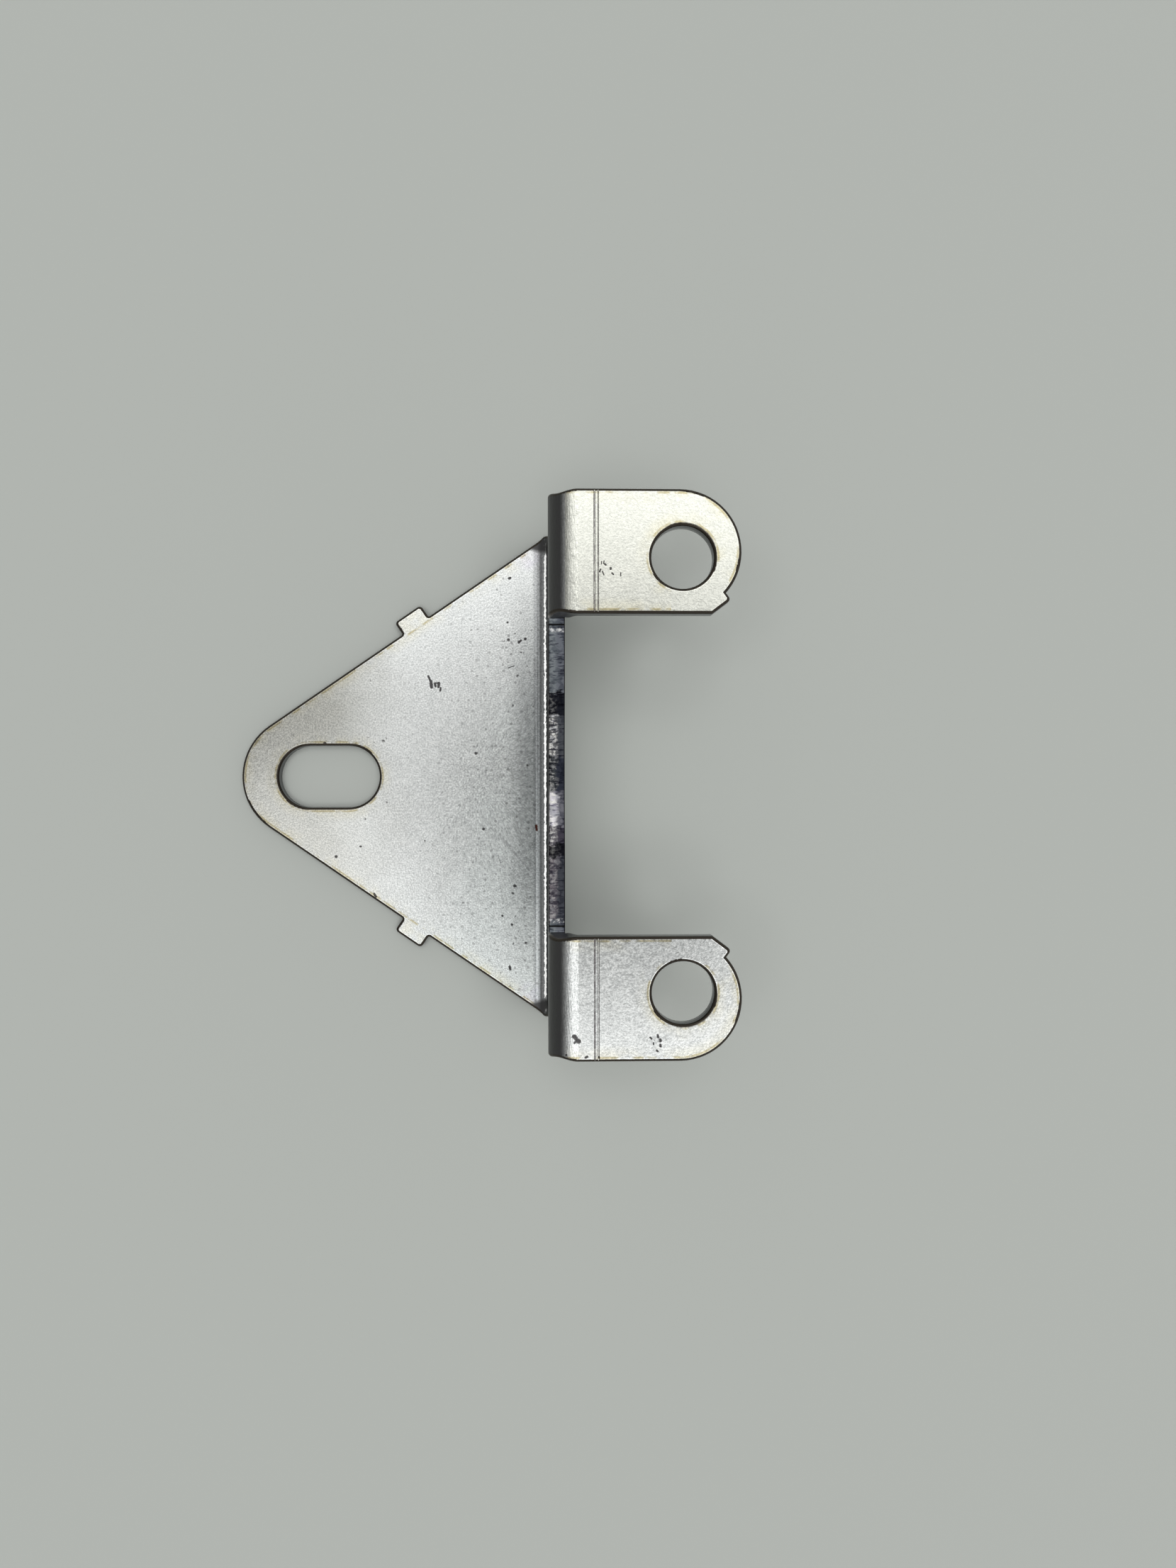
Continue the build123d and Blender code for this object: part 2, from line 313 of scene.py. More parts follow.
def from_edge(at):
    """Distance in from the nearest edge or hole, for a point on the plate's or an ear's top."""
    run = WIDE_X - TIP_X
    lean = math.atan2(HALF, run) - math.asin(TIP_RADIUS / math.hypot(run, HALF))
    side = ((at.x - WIDE_X) * math.tan(lean) + HALF - at.wide) * math.cos(lean)
    tip = (-((at.x - TIP_X).length(at.y))) + TIP_RADIUS
    taper = at.x.below(TIP_X - TIP_RADIUS * math.sin(lean)).pick(tip, side)
    along = (abs(at.x - SLOT_X) - SLOT_CENTRES / 2).most(0.0)
    slot = along.length(at.y) - SLOT_WIDTH / 2
    plate = taper.least(slot)

    sides = ((-at.wide) + HALF).least(at.wide - GAP_HALF)
    end = (-((at.x - END_X).length(at.wide - END_Y))) + END_RADIUS
    outline = at.x.above(END_X).pick(end, sides)
    hole = (at.x - HOLE_X).length(at.wide - HOLE_Y) - HOLE_RADIUS
    cropped = at.x.above(CROP_X) * at.wide.below(CROP_Y)
    ear = cropped.pick(BEYOND_EDGES, outline.least(hole))
    return at.z.above(HEIGHT / 2).pick(ear, plate)


# ---------------------------------------------------------------- marks on the metal


class Stroke(NamedTuple):
    """A short mark seen from above: its two ends and half its width."""

    x0: float
    y0: float
    x1: float
    y1: float
    half: float


HOOK = (
    Stroke(-6.70, 13.80, -6.35, 13.00, 0.13),
    Stroke(-6.35, 13.10, -6.25, 12.25, 0.22),
    Stroke(-5.80, 12.80, -5.70, 12.40, 0.16),
    Stroke(-5.70, 12.85, -5.25, 12.85, 0.11),
    Stroke(-5.25, 12.90, -5.30, 12.30, 0.19),
    Stroke(-5.00, 12.20, -5.05, 11.80, 0.12),
)
PLATE_NICKS = (
    Stroke(4.55, -26.60, 4.45, -26.20, 0.16),
    Stroke(5.75, 18.45, 6.05, 18.75, 0.14),
    Stroke(4.45, 27.30, 4.55, 27.35, 0.16),
    Stroke(4.30, 14.95, 5.10, 15.25, 0.06),
    Stroke(-14.15, -16.10, -13.90, -16.50, 0.14),
    Stroke(-16.05, -9.60, -15.95, -9.60, 0.13),
)
SCRATCH = (Stroke(3.1, -8.0, 4.8, -10.2, 0.20), Stroke(4.8, -10.2, 7.8, -13.6, 0.13))
RUST_SPECK = (Stroke(8.2, -7.4, 8.1, -6.8, 0.18),)
EAR_BLOB = (
    Stroke(12.80, -29.90, 13.05, -30.10, 0.24),
    Stroke(13.25, -30.35, 13.35, -30.45, 0.28),
    Stroke(12.95, -30.50, 12.85, -30.65, 0.10),
    Stroke(14.15, -32.30, 14.30, -32.20, 0.14),
    Stroke(15.68, -32.35, 15.68, -32.20, 0.08),
    Stroke(11.75, -32.15, 11.90, -32.05, 0.13),
)
EAR_NICKS = (
    Stroke(16.38, 24.15, 16.48, 24.05, 0.10),
    Stroke(17.05, 23.70, 17.05, 23.60, 0.12),
    Stroke(17.22, 23.10, 17.35, 22.98, 0.10),
    Stroke(18.20, 23.15, 18.20, 22.80, 0.06),
    Stroke(16.00, 24.45, 16.00, 24.15, 0.05),
    Stroke(16.30, 24.50, 16.25, 24.20, 0.06),
    Stroke(15.90, 23.55, 15.80, 23.25, 0.08),
    Stroke(16.10, 23.30, 16.28, 22.90, 0.07),
    Stroke(22.40, -29.80, 22.45, -30.00, 0.15),
    Stroke(22.70, -30.90, 22.72, -31.10, 0.12),
    Stroke(21.55, -30.05, 21.70, -30.20, 0.10),
    Stroke(22.30, -31.55, 22.38, -31.65, 0.12),
    Stroke(21.90, -30.70, 21.92, -30.85, 0.09),
)


class Specks(NamedTuple):
    """Small scattered spots: one in each of this share of cells of this size."""

    size: float
    share: float
    radius: float


PITS = Specks(0.8, 0.30, 0.24)
GRIT = Specks(1.3, 0.60, 0.19)

# Rims of strokes and specks, as shares of their radius, and a speck's least radius in cells.
STROKE_RIM = (1.3, 0.7)
SPECK_RIM = (1.2, 0.7)
SPECK_LEAST = 0.02


def strokes(at, drawn, ragged):
    """Mask of a few short strokes with ragged outlines."""
    mask = at.number(0.0)
    for stroke in drawn:
        run_x, run_y = stroke.x1 - stroke.x0, stroke.y1 - stroke.y0
        run = math.hypot(run_x, run_y)
        dx, dy = run_x / run, run_y / run
        from_x, from_y = at.x - stroke.x0, at.y - stroke.y0
        along = from_x * dx + from_y * dy
        across = from_y * dx - from_x * dy
        beyond = (abs(along - run / 2) - run / 2).most(0.0)
        mask = mask.most((beyond.length(across) / stroke.half + ragged).ramp(*STROKE_RIM))
    return mask


def scattered(at, specks):
    """Mask of specks whose radii differ by lot."""
    lot = at.cells(specks.size, out="Color")
    spot = at.cells(specks.size) / (lot / specks.share * specks.radius + SPECK_LEAST)
    return spot.ramp(*SPECK_RIM) * lot.below(specks.share)


# ---------------------------------------------------------------- zinc-plated steel


# Sizes of the patterns: blobs across, and stripes across and along.
FINE_SIZE = 0.22
GRAIN_SIZE = 0.45
BLOTCH_SIZE = 1.7
CLOUD_SIZE = 8.0
GRIT_PATCH_SIZE = 2.0
RIPPLE_SIZE = 0.6
STREAK_SIZE = (0.12, 1.1)
WITNESS_BREAK_SIZE = (0.5, 1.0)
LEDGE_JAG_SIZE = (0.2, 0.4)
LEDGE_BREAK_SIZE = (0.3, 0.6)

# How much each adds to the tone, and how strongly all of it shows, there and where it is calm.
FINE_SHARE = 1.0
GRAIN_SHARE = 0.2
BLOTCH_SHARE = 0.12
CLOUD_SHARE = 0.14
CONTRAST = 0.9
CALM_CONTRAST = 0.45
FACE_TONES = (0.22, 0.78)
UNDER_TONES = (0.25, 0.75)

# Plated face, at the dark and light ends of its grain, and what it is multiplied by.
FACE_DARK = (0.58, 0.60, 0.59)
FACE_LIGHT = (0.98, 1.0, 0.98)
TIP_TINT = (0.84, 0.825, 0.79)
COOL_TINT = (0.975, 1.0, 1.0)
FAR_TINT = (0.76, 0.755, 0.735)
UPPER_EAR_TINT = (1.0, 0.985, 0.91)
CORNER_TINT = (0.96, 0.93, 1.0)
# The next three are painted shade: beside the web, where the lower fold starts and in its
# hollow.
BY_WEB_SHADE = (0.63, 0.635, 0.64)
FOLD_START_SHADE = (0.64, 0.64, 0.65)
HOLLOW_SHADE = (0.45, 0.45, 0.46)
STAIN_AND_SHEEN_TINT = (0.72, 0.66, 0.50)
HALO_TINT = (0.98, 0.955, 0.88)

# Where those come in, from none to full, and how far clouds make their borders wander. A
# third number is how far a band fades, and four are a range and the values at its ends.
TIP_X_RANGE = (-8.0, -26.0)
TIP_WANDER = 14.0
COOL_RANGE = (-6.0, 14.0)
COOL_SLOPE = 0.5
COOL_WANDER = 16.0
FAR_X_RANGE = (-8.0, -21.0)
FAR_Y_RANGE = (-4.0, 10.0)
UPPER_EAR_Y_RANGE = (-12.0, 24.0)
UPPER_EAR_WANDER = 8.0
BY_WEB_X_RANGE = (3.5, 7.5)
BY_WEB_SIDE_FADE = (30.0, 8.0, 0.1, 1.0)
CORNER_X = 7.2
CORNER_Y = 30.2
CORNER_RADII = (2.4, 0.6)
CORNER_PATCHES = (0.3, 0.6)
FOLD_START_X = (8.1, 8.45, 0.55)
HOLLOW_TURN = (0.45, 0.7, 0.2)
STAIN_AND_SHEEN_FROM_EDGE = (0.42, 0.56, 0.12)
STAIN_AND_SHEEN_PATCHES = (0.40, 0.58)
HALO_FROM_EDGE = (2.2, 0.6)
HALO_PATCHES = (0.8, 1.25)

# Dirt, rust and wear, and how much of the face they cover.
PIT = (0.16, 0.16, 0.16)
DIRT = (0.03, 0.026, 0.028)
RUST = (0.055, 0.02, 0.014)
SCRATCHED = (0.25, 0.25, 0.26)
WITNESS = (0.22, 0.19, 0.22)
PIT_STRENGTH = 0.6
DIRT_STRENGTH = 0.92
SCRATCH_STRENGTH = 0.35
PITS_X_RANGE = (-18.0, 8.0, 0.1, 0.8)
GRIT_PATCHES = (0.62, 0.70)
SCRATCH_PATCHES = (0.35, 0.55, 0.3, 1.0)

# Pits and grit crowd beside the web on both sides of its middle, and on the lower ear.
CROWD_X = 5.3
CROWD_Y = 19.0
CROWD_SQUEEZE = 0.4
CROWD_RADII = (3.2, 0.8)
CROWD_PUSH = 0.22
EAR_CROWD_X = 22.2
EAR_CROWD_Y = -30.5
EAR_CROWD_RADII = (1.7, 0.6)

# The two lines that the folding die left across the ears.
FIRST_WITNESS_X = (15.13, 15.25, 0.08)
FIRST_WITNESS_BREAKS = (0.38, 0.56, 0.0, 0.65)
SECOND_WITNESS_X = (15.58, 15.64, 0.06)
SECOND_WITNESS_BREAKS = (0.46, 0.62, 0.0, 0.5)

# Folds and edges: painted shade on the folds, streaked like stretched plating, the ledge in the
# hollow, and steel where it was cut, its walls dark partly as painted shade, the ear holes' torn
# lower walls painted lighter with light from the floor, and the underside painted darker as
# shade. A turn is how far round a fold, from 0 on the flat sheet to 1 at the web.
BEND_PAINTED_SHADE = (0.08, 0.08, 0.08)
LEDGE = (0.88, 0.88, 0.86)
# Dark rolled edges and cut walls are partly the steel and partly painted shade; the torn walls'
# lighter grey is painted light from the floor.
ROLLED_AND_SHADED = (0.055, 0.047, 0.038)
SHEARED_AND_SHADED = (0.12, 0.12, 0.125)
TORN_AND_FLOOR_LIT = (0.30, 0.30, 0.30)
# The underside's colours, darker than the top's, are painted shade.
UNDER_SHADED_DARK = (0.50, 0.52, 0.51)
UNDER_SHADED_LIGHT = (0.72, 0.74, 0.72)
STREAKS = 0.12
HIGH_DARK_TURN = (0.25, 0.61)
LOW_DARK_TURN = (0.82, 0.85)
DARK_BELOW_UPPER = 1.2
LOW_DARK_Z = (LOWER_OUTER + 0.8, LOWER_OUTER - 0.2)
LEDGE_TURN = (0.68, 0.79, 0.02)
LEDGE_START_Y = (31.0, 29.0)
LEDGE_JAG = 0.28
LEDGE_BREAK = 0.6
LEDGE_BREAKS = (0.3, 0.6)
# Painted shade on the lower fold's flared ends, near their edges.
FLARE_SHADE_X = 7.1
FLARE_SHADE_SLOPE = 0.85
FLARE_SHADE_RANGE = (0.4, -0.3)
ROLLED_FACING = (0.995, 0.97)
TORN_DEPTH = (1.15, 1.3)
TORN_X_RANGE = (17.0, 20.0)

# Ways that the ledge and the web's cut edge face, and how far the edge is turned to its own.
LEDGE_WAY = (-0.035, -0.174, 0.984)
STRIP_WAY = (0.12, 0.0, 0.993)
STRIP_TURNED = 0.8

# Gloss, and heights of the relief.
PLATE_ROUGH = (0.3, 0.7, 0.18, 0.24)
BEND_ROUGH = 0.4
CUT_ROUGH = 0.3
FINE_HEIGHT = 0.006
GRAIN_HEIGHT = 0.004
PRESSED_HEIGHT = 0.03
MARK_DEPTH = 0.02


class Zinc:
    """The bracket's metal, put on feature by feature over one colour."""

    def __init__(self, tree):
        at = Place(tree)
        self.tree = tree
        self.shader = tree.nodes["Principled BSDF"]
        self.at = at
        self.sheet = Folded(at)
        self.edge = from_edge(at)
        self.fine = at.noise(FINE_SIZE, detail=1.5, rough=0.6)
        self.grain = at.noise(GRAIN_SIZE, rough=0.55)
        self.blotch = at.noise(BLOTCH_SIZE)
        self.cloud = at.noise(CLOUD_SIZE)
        self.streak = at.stripes(*STREAK_SIZE)

    def paint(self, mask, colour):
        self.colour = mixed(self.tree, "RGBA", mask, self.colour, colour)

    def tint(self, mask, colour):
        self.colour = mixed(self.tree, "RGBA", mask, self.colour, colour, blend="MULTIPLY")

    def plated_face(self):
        """Sugary grain with soft clouds, calmer on the upper ear."""
        calm = self.sheet.on_ear * self.at.y.above(0.0)
        tone = self.fine.swing(FINE_SHARE) + self.grain.swing(GRAIN_SHARE)
        tone = tone + self.blotch.swing(BLOTCH_SHARE) + self.cloud.swing(CLOUD_SHARE)
        self.tone = tone * calm.pick(CALM_CONTRAST, CONTRAST) + 0.5
        face = self.tone.ramp(*FACE_TONES)
        self.colour = mixed(self.tree, "RGBA", face, FACE_DARK, FACE_LIGHT)

    def soft_tints(self):
        """Warmer and darker at the tip, darker still towards the tip on the +Y side, warmer on
        the upper ear, cooler by the web, violet at its corners.
        """
        at, sheet, cloud = self.at, self.sheet, self.cloud
        self.tint((at.x + cloud.swing(TIP_WANDER)).ramp(*TIP_X_RANGE), TIP_TINT)
        cool = (at.x - at.y * COOL_SLOPE + cloud.swing(COOL_WANDER)).ramp(*COOL_RANGE)
        self.tint(sheet.on_plate * cool, COOL_TINT)
        self.tint(at.x.ramp(*FAR_X_RANGE) * at.y.ramp(*FAR_Y_RANGE), FAR_TINT)
        upper_ear = (at.y + cloud.swing(UPPER_EAR_WANDER)).ramp(*UPPER_EAR_Y_RANGE)
        self.tint(sheet.on_ear * upper_ear, UPPER_EAR_TINT)
        corner = (at.wide - CORNER_Y).length(at.x - CORNER_X).ramp(*CORNER_RADII)
        self.tint(sheet.on_plate * corner * self.blotch.ramp(*CORNER_PATCHES), CORNER_TINT)

    def shade_by_fold(self):
        """Painted shade: darker beside the web, where the lower fold starts and in its hollow.
        """
        at, sheet = self.at, self.sheet
        by_web = (at.x + self.blotch.swing(1.0)).ramp(*BY_WEB_X_RANGE)
        self.tint(sheet.on_plate * by_web * at.wide.ramp(*BY_WEB_SIDE_FADE), BY_WEB_SHADE)
        fold_start = at.x.band(*FOLD_START_X) * sheet.low_half * at.nz.above(FOLD_START_FACING)
        self.tint(fold_start, FOLD_START_SHADE)
        self.tint(sheet.low_turn.band(*HOLLOW_TURN), HOLLOW_SHADE)

    def edge_stain_and_sheen(self):
        """Yellow-brown tint along the edges in patches, partly stain and partly a painted warm
        reflection where the edge starts to roll, with a faint halo.
        """
        # Partly stain, partly a painted warm reflection along the edges.
        stain_and_sheen = self.edge.band(*STAIN_AND_SHEEN_FROM_EDGE) * self.blotch.ramp(*STAIN_AND_SHEEN_PATCHES)
        self.tint(stain_and_sheen * self.sheet.top, STAIN_AND_SHEEN_TINT)
        halo = self.edge.ramp(*HALO_FROM_EDGE) * (self.cloud + self.blotch).ramp(*HALO_PATCHES)
        self.tint(halo * self.sheet.top, HALO_TINT)

    def dirt_and_marks(self):
        """Scattered pits and specks, then the marks that handling left."""
        at, sheet = self.at, self.sheet
        ragged = self.grain.swing(1.0)
        near_web = (at.x - CROWD_X).length((at.wide - CROWD_Y) * CROWD_SQUEEZE)
        on_lower_ear = (at.x - EAR_CROWD_X).length(at.y - EAR_CROWD_Y)
        crowd = near_web.ramp(*CROWD_RADII) * sheet.on_plate
        crowd = crowd.most(on_lower_ear.ramp(*EAR_CROWD_RADII) * sheet.on_ear)

        more_by_web = at.x.ramp(*PITS_X_RANGE) * sheet.on_plate
        pits = scattered(at, PITS) * more_by_web.most(crowd)
        in_patches = (at.noise(GRIT_PATCH_SIZE) + crowd * CROWD_PUSH).ramp(*GRIT_PATCHES)
        grit = scattered(at, GRIT) * sheet.on_plate.most(crowd) * in_patches
        marks = strokes(at, HOOK + PLATE_NICKS, ragged) * sheet.on_plate
        self.marks = marks.most(strokes(at, EAR_BLOB + EAR_NICKS, ragged) * sheet.on_ear)
        self.dirt = grit.most(self.marks) * sheet.top
        self.paint(pits * sheet.top * PIT_STRENGTH, PIT)
        self.paint(self.dirt * DIRT_STRENGTH, DIRT)

        self.paint(strokes(at, RUST_SPECK, ragged) * sheet.on_plate, RUST)
        faded = self.blotch.ramp(*SCRATCH_PATCHES) * SCRATCH_STRENGTH
        self.paint(strokes(at, SCRATCH, ragged) * sheet.on_plate * faded, SCRATCHED)

    def witness_lines(self):
        """Two broken lines across each ear, where the folding die stood."""
        broken = self.at.stripes(*WITNESS_BREAK_SIZE)
        first = self.at.x.band(*FIRST_WITNESS_X) * broken.ramp(*FIRST_WITNESS_BREAKS)
        second = self.at.x.band(*SECOND_WITNESS_X) * broken.ramp(*SECOND_WITNESS_BREAKS)
        self.paint(first.most(second) * self.sheet.on_ear, WITNESS)

    def bends(self):
        """Painted shade and dark reflection: dark outside of the upper fold, dark root of the
        lower one and its flared ends.
        """
        at, sheet = self.at, self.sheet
        pulled = self.streak.swing(STREAKS)
        web_face = at.nx.below(WEB_FACING) * sheet.in_web
        high = (sheet.high_turn + pulled).ramp(*HIGH_DARK_TURN)
        high = high.most(web_face * at.z.ramp(UPPER_Z - DARK_BELOW_UPPER, UPPER_Z))
        low = (sheet.low_turn + pulled * 0.5).ramp(*LOW_DARK_TURN)
        low = low.most(web_face * at.z.ramp(*LOW_DARK_Z))
        flare_shade = self.edge - (at.x - FLARE_SHADE_X) * FLARE_SHADE_SLOPE + self.blotch.swing(0.5)
        flared = sheet.facing.above(PUNCH_SIDE_FACING) * at.z.below(LOWER_OUTER)
        self.dark = high.most(low).most(flare_shade.ramp(*FLARE_SHADE_RANGE) * flared)
        # This darkness is painted shade and painted dark reflection.
        self.paint(self.dark, BEND_PAINTED_SHADE)

    def ledge_in_hollow(self):
        """Bright jagged ledge that the punch's nose left along the lower fold."""
        at = self.at
        jag = at.stripes(*LEDGE_JAG_SIZE).swing(LEDGE_JAG)
        begun = at.wide.ramp(*LEDGE_START_Y) + at.stripes(*LEDGE_BREAK_SIZE) * LEDGE_BREAK
        ledge = (self.sheet.low_turn + jag).band(*LEDGE_TURN)
        self.ledge = ledge * begun.ramp(*LEDGE_BREAKS) * self.dirt.flip()
        self.paint(self.ledge, LEDGE)

    def cut_edges(self):
        """Rolled edges and walls sheared then torn, dark partly as steel and partly as painted
        shade; the ear holes' torn walls painted lighter with light from the floor; the underside
        painted darker as shade; the cut strip.
        """
        sheet = self.sheet
        # Rolled edges and cut walls: partly dark steel, partly painted shade.
        self.paint((sheet.facing + self.fine.swing(0.01)).ramp(*ROLLED_FACING), ROLLED_AND_SHADED)
        self.cut = abs(sheet.facing).below(WALL_FACING)
        torn = (sheet.depth + self.grain.swing(0.3)).ramp(*TORN_DEPTH)
        # The lighter torn walls, in the ear holes only, are painted light from the floor.
        torn = torn * self.at.x.ramp(*TORN_X_RANGE)
        self.paint(self.cut, mixed(self.tree, "RGBA", torn, SHEARED_AND_SHADED, TORN_AND_FLOOR_LIT))
        # The underside painted darker than the top is painted shade.
        under = self.tone.ramp(*UNDER_TONES)
        plain = mixed(self.tree, "RGBA", under, UNDER_SHADED_DARK, UNDER_SHADED_LIGHT)
        self.paint(sheet.facing.below(UNDER_FACING), plain)
        self.paint(sheet.strip, strip_colour(self.tree, self.at))

    def gloss(self):
        rough = self.grain.ramp(*PLATE_ROUGH)
        rough = self.dark.pick(BEND_ROUGH, rough)
        rough = self.sheet.strip.most(self.cut).pick(CUT_ROUGH, rough)
        feed(self.tree, self.shader.inputs["Roughness"], rough)
        self.shader.inputs["Metallic"].default_value = 1.0

    def relief(self):
        """Grain, the drawn surface of the upper fold and the marks, as height."""
        at = self.at
        rippled = self.streak + at.noise(RIPPLE_SIZE, vector=at.stretched(1.0, 0.6, 1.0))
        pressed = rippled * self.sheet.in_high
        height = self.fine * FINE_HEIGHT + self.grain * GRAIN_HEIGHT
        height = height + pressed * PRESSED_HEIGHT - self.marks * MARK_DEPTH
        bump = self.tree.nodes.new("ShaderNodeBump")
        bump.inputs["Distance"].default_value = MM
        bump.inputs["Strength"].default_value = 1.0
        feed(self.tree, bump.inputs["Height"], height)

        # The ledge in the hollow faces up, and so does the web's cut edge.
        ledge_way, strip_way = at.join(*LEDGE_WAY), at.join(*STRIP_WAY)
        normal = mixed(self.tree, "VECTOR", self.ledge, bump.outputs["Normal"], ledge_way)
        lifted = self.sheet.strip * STRIP_TURNED
        normal = mixed(self.tree, "VECTOR", lifted, normal, strip_way)
        feed(self.tree, self.shader.inputs["Normal"], normal)


def zinc():
    material = bpy.data.materials.new("zinc_plated_steel")
    material.use_nodes = True
    metal = Zinc(material.node_tree)
    metal.plated_face()
    metal.soft_tints()
    metal.shade_by_fold()
    metal.edge_stain_and_sheen()
    metal.dirt_and_marks()
    metal.witness_lines()
    metal.bends()
    metal.ledge_in_hollow()
    metal.cut_edges()
    feed(metal.tree, metal.shader.inputs["Base Color"], metal.colour)
    metal.gloss()
    metal.relief()
    return material


# ---------------------------------------------------------------- the web's cut top edge


class Stretch(NamedTuple):
    """Part of the strip along Y: its colours where smooth and torn, dark or light as a painted
    reflection of the dip's curve, and how strongly its painted glints show.
    """

    start: float
    end: float
    smooth: tuple
    torn: tuple
    painted_glint: float


# The dark ends and bright middles of these stretches are a painted reflection of the curved dip.
STRETCHES = (
    Stretch(9.7, 7.0, (0.012, 0.013, 0.018), (0.015, 0.016, 0.02), 0.12),
    Stretch(7.0, 2.3, (0.07, 0.075, 0.085), (0.16, 0.16, 0.16), 1.0),
    Stretch(2.3, -1.9, (0.03, 0.034, 0.048), (0.06, 0.065, 0.07), 0.4),
    Stretch(-1.9, -6.2, (0.15, 0.15, 0.17), (0.80, 0.77, 0.80), 1.0),
    Stretch(-6.2, -8.3, (0.05, 0.045, 0.06), (0.16, 0.15, 0.16), 0.5),
    Stretch(-8.3, -9.8, (0.012, 0.012, 0.016), (0.02, 0.02, 0.022), 0.1),
    Stretch(-9.8, -17.1, (0.055, 0.058, 0.07), (0.17, 0.155, 0.17), 0.3),
)
STRETCH_BLEND = 0.25
STRIP_SMOOTH = (0.13, 0.14, 0.16)
STRIP_TORN = (0.19, 0.21, 0.22)
# A painted highlight.
PAINTED_GLINT = (0.85, 0.84, 0.80)
SOFT_TINT = (0.55, 0.56, 0.6)
COMB_TINT = (0.35, 0.35, 0.4)
CREASE_SHADE = (0.01, 0.01, 0.01)
BEAD = (0.6, 0.6, 0.6)
RIM_SHADE = (0.012, 0.011, 0.012)

# Sizes of its patterns. The comb's teeth stand across the strip.
COMB_STRETCH = (0.8, 4.0, 2.0)
TEAR_SIZE = 0.42
SOFT_SIZE = 0.9

# How deep below the punch side the torn part ends, where the strip's two rims lie, painted dark
# as shade, and how far the patterns push these borders and those of the stretches.
TORN_END = (1.4, 0.7)
TORN_BY_COMB = 0.8
TORN_BY_SOFT = 1.8
NEAR_RIM = (0.20, 0.10)
NEAR_RIM_JAG = 0.1
FAR_RIM = (1.86, 1.94)
STRETCH_BY_COMB = 0.9
STRETCH_BY_SOFT = 1.6

# Values of the patterns between which painted glints, dark patches and dark teeth come in.
PAINTED_GLINT_RANGE = (0.66, 0.78)
PAINTED_GLINTS_BY_COMB = 0.4
SOFT_PATCHES = (0.56, 0.40)
COMB_TEETH = (0.5, 0.38)

# A crease, its shade painted near-black, and a bright broken bead lie across the strip beside
# each ear.
CREASE_Y = 17.82
CREASE_RADII = (0.14, 0.06)
BEAD_Y = 17.2
BEAD_RADII = (0.35, 0.1)
BEAD_BREAKS = (0.45, 0.6)


def strip_colour(tree, at):
    """Cut top edge of the web, from ear to ear: torn on the punch side, smoother beyond, with
    painted reflections of the dip's curve along it.
    """
    deep = at.x - WEB_X
    comb = at.noise(1.0, detail=3.0, rough=0.6, vector=at.stretched(*COMB_STRETCH))
    tear = at.noise(TEAR_SIZE, detail=3.0, rough=0.7)
    soft = at.noise(SOFT_SIZE)
    torn = (deep + comb.swing(TORN_BY_COMB) + soft.swing(TORN_BY_SOFT)).ramp(*TORN_END)
    painted_glints = (tear + comb * PAINTED_GLINTS_BY_COMB).ramp(*PAINTED_GLINT_RANGE)
    wander = at.y + comb.swing(STRETCH_BY_COMB) + soft.swing(STRETCH_BY_SOFT)

    colour = mixed(tree, "RGBA", torn, STRIP_SMOOTH, STRIP_TORN)
    for part in STRETCHES:
        patch = mixed(tree, "RGBA", torn, part.smooth, part.torn)
        patch = mixed(tree, "RGBA", painted_glints * torn * part.painted_glint, patch, PAINTED_GLINT)
        here = wander.band(part.end, part.start, STRETCH_BLEND)
        colour = mixed(tree, "RGBA", here, colour, patch)
    dim = soft.ramp(*SOFT_PATCHES)
    teeth = comb.ramp(*COMB_TEETH)
    colour = mixed(tree, "RGBA", dim, colour, SOFT_TINT, blend="MULTIPLY")
    colour = mixed(tree, "RGBA", teeth, colour, COMB_TINT, blend="MULTIPLY")

    # The crease's near-black line is painted shade.
    crease = abs(at.wide - CREASE_Y).ramp(*CREASE_RADII)
    colour = mixed(tree, "RGBA", crease, colour, CREASE_SHADE)
    bead = abs(at.wide - BEAD_Y).ramp(*BEAD_RADII) * tear.ramp(*BEAD_BREAKS)
    colour = mixed(tree, "RGBA", bead, colour, BEAD)
    # The strip's dark rims are painted shade.
    rim = (deep + tear.swing(NEAR_RIM_JAG)).ramp(*NEAR_RIM).most(deep.ramp(*FAR_RIM))
    return mixed(tree, "RGBA", rim, colour, RIM_SHADE)


# ---------------------------------------------------------------- stage


# The floor lies a hair below the plate, so that the two don't share a plane.
FLOOR_REACH = 1500.0
FLOOR_DROP = 0.04
FLOOR_COLOUR = (0.315, 0.33, 0.31)
FLOOR_ROUGH = 0.85

# How far each sun leans from straight up, and how wide it is.
SUN_LEAN = 16.0
SUN_SPREAD = 17.0
SUN_STRENGTH = 0.52

# The camera looks almost straight down from above the web.
LENS = 27.03
SENSOR = 36.0
NEAREST = 5.0
FARTHEST = 20000.0
CAMERA_PLACE = (10.382, -0.804, 164.538)
CAMERA_TURN = (-0.0859, -1.7246, -0.0573)


def add_to_scene(name, data):
    piece = bpy.data.objects.new(name, data)
    bpy.context.scene.collection.objects.link(piece)
    return piece


def floor():
    sides = ((-1, -1), (1, -1), (1, 1), (-1, 1))
    points = [(x * FLOOR_REACH * MM, y * FLOOR_REACH * MM, -FLOOR_DROP * MM) for x, y in sides]
    mesh = bpy.data.meshes.new("floor")
    mesh.from_pydata(points, [], [(0, 1, 2, 3)])
    material = bpy.data.materials.new("floor")
    material.use_nodes = True
    shader = material.node_tree.nodes["Principled BSDF"]
    shader.inputs["Base Color"].default_value = (*FLOOR_COLOUR, 1.0)
    shader.inputs["Roughness"].default_value = FLOOR_ROUGH
    mesh.materials.append(material)
    add_to_scene("floor", mesh)


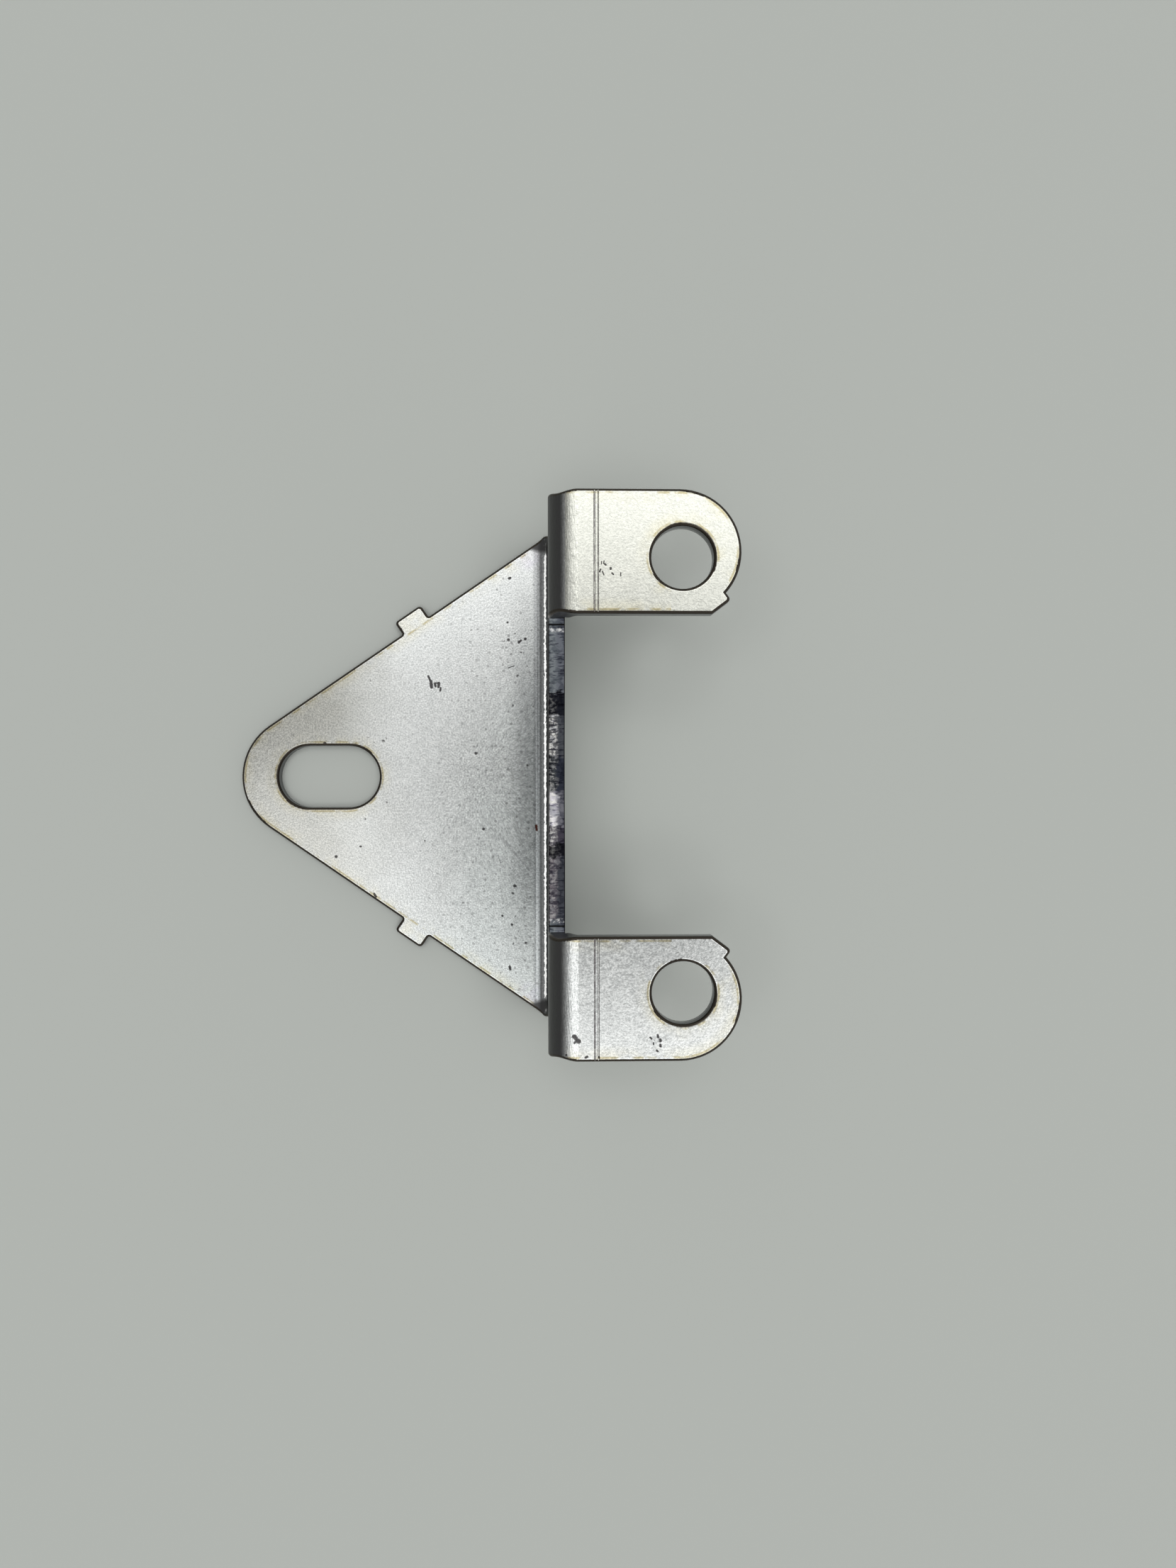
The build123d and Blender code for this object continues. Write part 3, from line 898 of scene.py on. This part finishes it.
def floor_lights():
    """Four wide soft suns that lean apart, for the floor and the bracket's shadow on it."""
    leans = {"far": (-1, 0), "near": (1, 0), "left": (0, -1), "right": (0, 1)}
    for name, (about_x, about_y) in leans.items():
        lamp = bpy.data.lights.new("sun_" + name, "SUN")
        lamp.angle = math.radians(SUN_SPREAD)
        lamp.energy = SUN_STRENGTH
        piece = add_to_scene("sun_" + name, lamp)
        lean = math.radians(SUN_LEAN)
        piece.rotation_euler = (about_x * lean, about_y * lean, 0.0)
        piece.visible_glossy = False


class Blot(NamedTuple):
    """A soft dark patch of the sky: its middle, in degrees from straight up, and its size."""

    across: float
    along: float
    wide: float
    tall: float


MIDDLE_BLOT = Blot(3.4, -1.3, 12.2, 12.8)
BEYOND_TIP_BLOT = Blot(-18.7, 4.3, 8.5, 8.5)
BLOT_SHARPNESS = 1.5

# The bright ring's strength, how it fades on the tip's side, and by tilt from straight up,
# what is left of it lower down and the glow that comes in towards the horizon.
RING_STRENGTH = 1.74
FADE_FROM = 17.0
FADE_PER_DEGREE = 0.057
TIP_SIDE_RANGE = (-12.0, -24.0)
RING_TILT = (23.0, 38.0, 1.0, 0.24)
HORIZON_TILT = (52.0, 68.0, 0.0, 0.36)
BACKDROP_STRENGTH = 0.9


def darkness(across, along, blot):
    """1 in the middle of a soft dark patch of the sky, 0 away from it."""
    a = (across - blot.across) / blot.wide
    b = (along - blot.along) / blot.tall
    spread = (a * a + b * b).apply("POWER", BLOT_SHARPNESS)
    return (-spread).apply("EXPONENT")


def sky():
    """Soft light from above: a bright ring round a darker middle, dim towards the tip's side."""
    world = bpy.data.worlds.new("studio")
    bpy.context.scene.world = world
    world.use_nodes = True
    tree = world.node_tree
    where = tree.nodes.new("ShaderNodeTexCoord")
    x, y, up = split(tree, where.outputs["Generated"])
    across = x.apply("ARCTAN2", up) * DEGREES
    along = y.apply("ARCTAN2", up) * DEGREES
    tilt = up.apply("ARCCOSINE") * DEGREES

    ring = darkness(across, along, MIDDLE_BLOT).flip() * RING_STRENGTH
    ring = ring * darkness(across, along, BEYOND_TIP_BLOT).flip()
    fade = ((across + FADE_FROM) * FADE_PER_DEGREE).least(0.0).apply("EXPONENT")
    left = across.ramp(*TIP_SIDE_RANGE).most(tilt.ramp(*RING_TILT))
    light = ring * fade * left + tilt.ramp(*HORIZON_TILT)

    path = tree.nodes.new("ShaderNodeLightPath")
    seen = Num(tree, path.outputs["Is Camera Ray"])
    back = tree.nodes["Background"]
    feed(tree, back.inputs["Strength"], seen.pick(BACKDROP_STRENGTH, light))
    back.inputs["Color"].default_value = (1.0, 1.0, 1.0, 1.0)


def camera():
    lens = bpy.data.cameras.new("camera")
    lens.sensor_fit = "VERTICAL"
    lens.sensor_height = SENSOR
    lens.lens = LENS
    lens.clip_start = NEAREST * MM
    lens.clip_end = FARTHEST * MM
    piece = add_to_scene("camera", lens)
    piece.location = [place * MM for place in CAMERA_PLACE]
    piece.rotation_euler = [math.radians(turn) for turn in CAMERA_TURN]
    bpy.context.scene.camera = piece


camera()
floor()
sky()
floor_lights()

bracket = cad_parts["bracket"]
bracket.data.materials.clear()
bracket.data.materials.append(zinc())

bpy.context.scene.view_settings.view_transform = "Standard"
